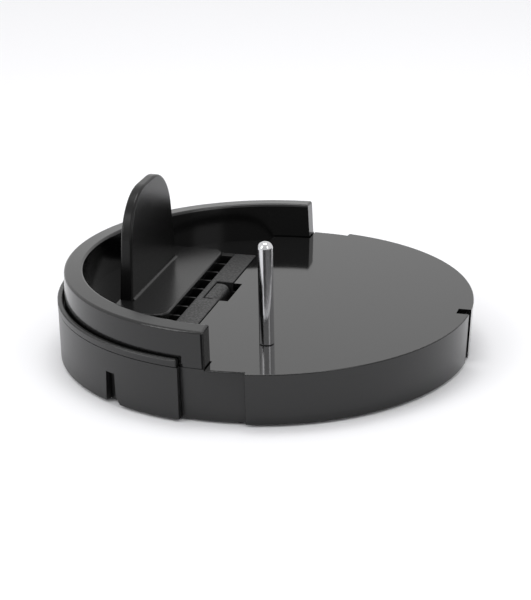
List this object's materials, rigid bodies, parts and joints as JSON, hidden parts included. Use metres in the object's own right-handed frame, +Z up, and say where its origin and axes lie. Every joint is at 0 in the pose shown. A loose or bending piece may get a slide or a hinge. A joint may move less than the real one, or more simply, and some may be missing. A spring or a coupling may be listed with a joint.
{
  "type": "docking base",
  "caption": "Low round docking base with a half-ring fence, sliding L-shaped paddle, ribbed bed, latched cover plate and an upright steel pin.",
  "frame": {"origin": "centre of the footprint, on the floor under the rubber feet", "axes": "+Z up, +X from the paddle towards the notched rim, +Y along the latch bar away from the pin"},
  "size_m": [0.2009, 0.1982, 0.0804],
  "materials": {
    "plate_black": "smooth satin-gloss moulded plastic",
    "gloss_black": "glossy moulded plastic",
    "paddle_black": "semi-gloss moulded plastic",
    "satin_black": "satin moulded plastic",
    "bed_black": "satin moulded plastic",
    "textured_black": "fine spark texture",
    "polished_steel": "polished",
    "screw_steel": "zinc plated",
    "weight_iron": "black oxide",
    "rubber": "matte rubber"
  },
  "bodies": {
    "base": {"core_housing": "satin_black", "rear_deck": "plate_black", "base_plate": "satin_black", "rubber_feet": "rubber", "base_screws": "screw_steel", "ballast_weight": "weight_iron", "curved_fence": "gloss_black", "fence_screws": "screw_steel", "rear_skirt": "satin_black", "skirt_rail": "satin_black", "skirt_screws": "screw_steel", "ribbed_bed": "bed_black", "bed_screws": "screw_steel", "latch_bar": "textured_black", "bar_screws": "screw_steel", "latch_pivot": "screw_steel", "latch_spring": "screw_steel"},
    "latch": {"latch_tab": "textured_black"},
    "cover": {"cover_plate": "plate_black", "locating_pin": "polished_steel", "pin_backing_plate": "screw_steel", "pin_washer": "screw_steel", "pin_screw": "screw_steel"},
    "paddle": {"paddle": "paddle_black", "paddle_runner": "bed_black", "friction_pads": "rubber", "runner_screws": "screw_steel"}
  },
  "joints": [
    {"name": "latch_press", "type": "hinge", "parent": "base", "child": "latch", "pos_m": [-0.0266, 0, 0.0194], "axis": [0, 1, 0], "range_deg": [0, 10], "stiffness_Nm_per_rad": 0.03, "springref_deg": -8.59, "deforming": ["latch_spring"]},
    {"name": "cover_slide", "type": "slide", "parent": "base", "child": "cover", "axis": [1, 0, 0], "range_m": [0, 0.007]},
    {"name": "paddle_slide", "type": "slide", "parent": "base", "child": "paddle", "axis": [1, 0, 0], "range_m": [-0.008, 0.0033]}
  ]
}
